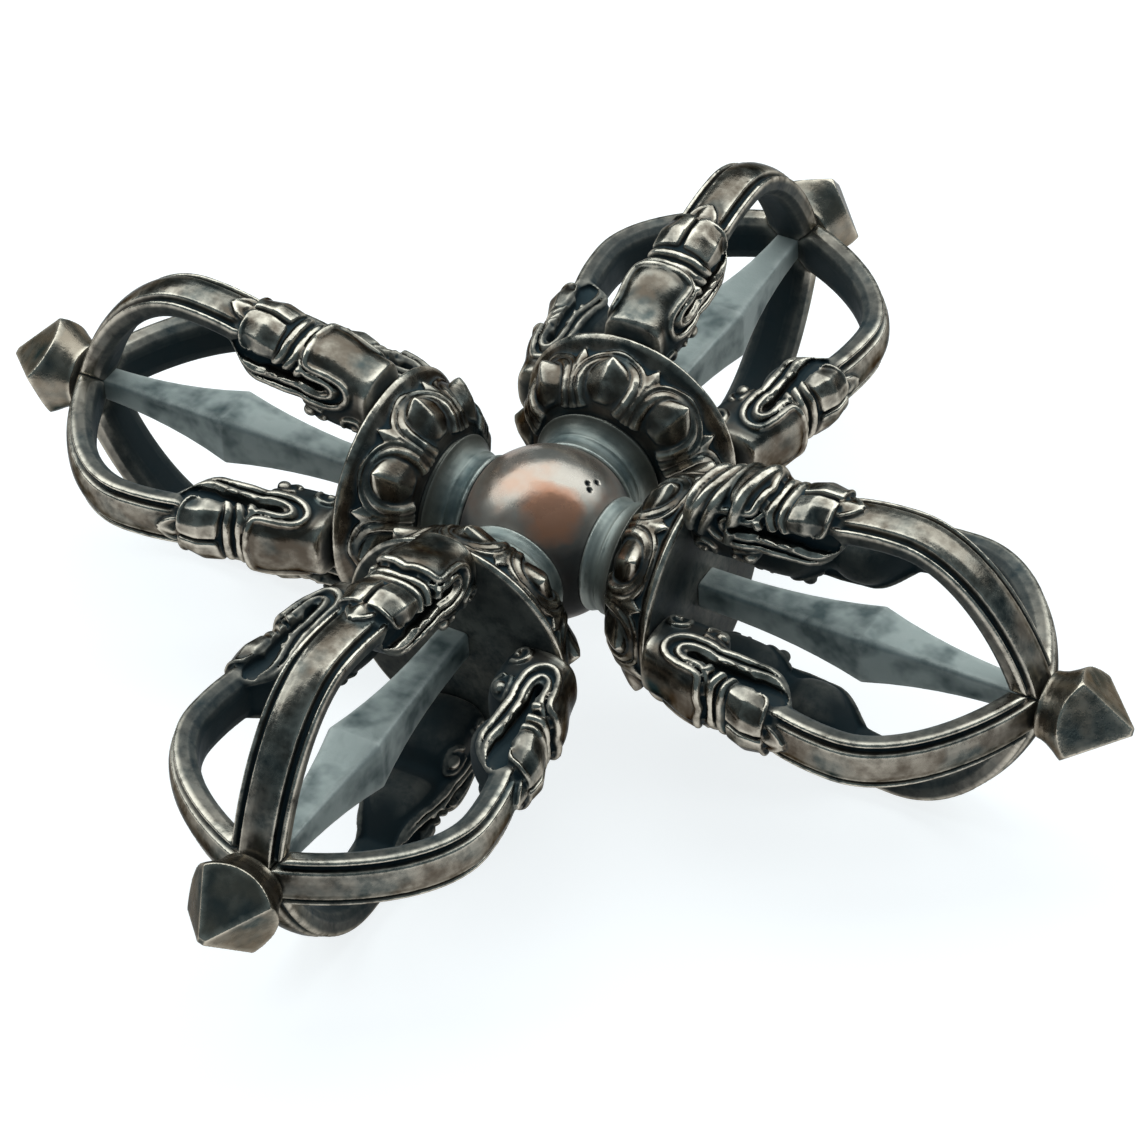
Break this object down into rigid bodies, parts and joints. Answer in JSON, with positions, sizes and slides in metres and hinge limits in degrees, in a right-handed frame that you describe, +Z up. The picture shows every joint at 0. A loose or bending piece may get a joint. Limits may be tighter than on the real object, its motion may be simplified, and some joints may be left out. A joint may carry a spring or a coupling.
{
  "type": "double vajra",
  "caption": "Cross-shaped ritual sceptre: makara-headed prongs bow from lotus cups round a ball and meet at pointed finials.",
  "frame": {"origin": "on the resting surface, straight below the middle of the ball", "axes": "+Z up, with the arms along +X, +Y, -X and -Y"},
  "size_m": [0.14, 0.14, 0.0378],
  "materials": {
    "dark_bronze": "dark brown patina, bright on worn edges",
    "worn_bronze": "brown patina worn through by handling",
    "polished_ball": "copper-brown, polished by handling",
    "grey_bronze": "grey-green, matt"
  },
  "bodies": {
    "root": {"hub_ball": "polished_ball", "east_neck_collar": "grey_bronze", "east_lotus_cup": "dark_bronze", "east_central_rod": "grey_bronze", "east_finial": "worn_bronze", "east_prong_top": "dark_bronze", "east_prong_left": "dark_bronze", "east_prong_bottom": "dark_bronze", "east_prong_right": "dark_bronze", "north_neck_collar": "grey_bronze", "north_lotus_cup": "dark_bronze", "north_central_rod": "grey_bronze", "north_finial": "worn_bronze", "north_prong_top": "dark_bronze", "north_prong_left": "dark_bronze", "north_prong_bottom": "dark_bronze", "north_prong_right": "dark_bronze", "west_neck_collar": "grey_bronze", "west_lotus_cup": "dark_bronze", "west_central_rod": "grey_bronze", "west_finial": "worn_bronze", "west_prong_top": "dark_bronze", "west_prong_left": "dark_bronze", "west_prong_bottom": "dark_bronze", "west_prong_right": "dark_bronze", "south_neck_collar": "grey_bronze", "south_lotus_cup": "dark_bronze", "south_central_rod": "grey_bronze", "south_finial": "worn_bronze", "south_prong_top": "dark_bronze", "south_prong_left": "dark_bronze", "south_prong_bottom": "dark_bronze", "south_prong_right": "dark_bronze"}
  },
  "joints": []
}
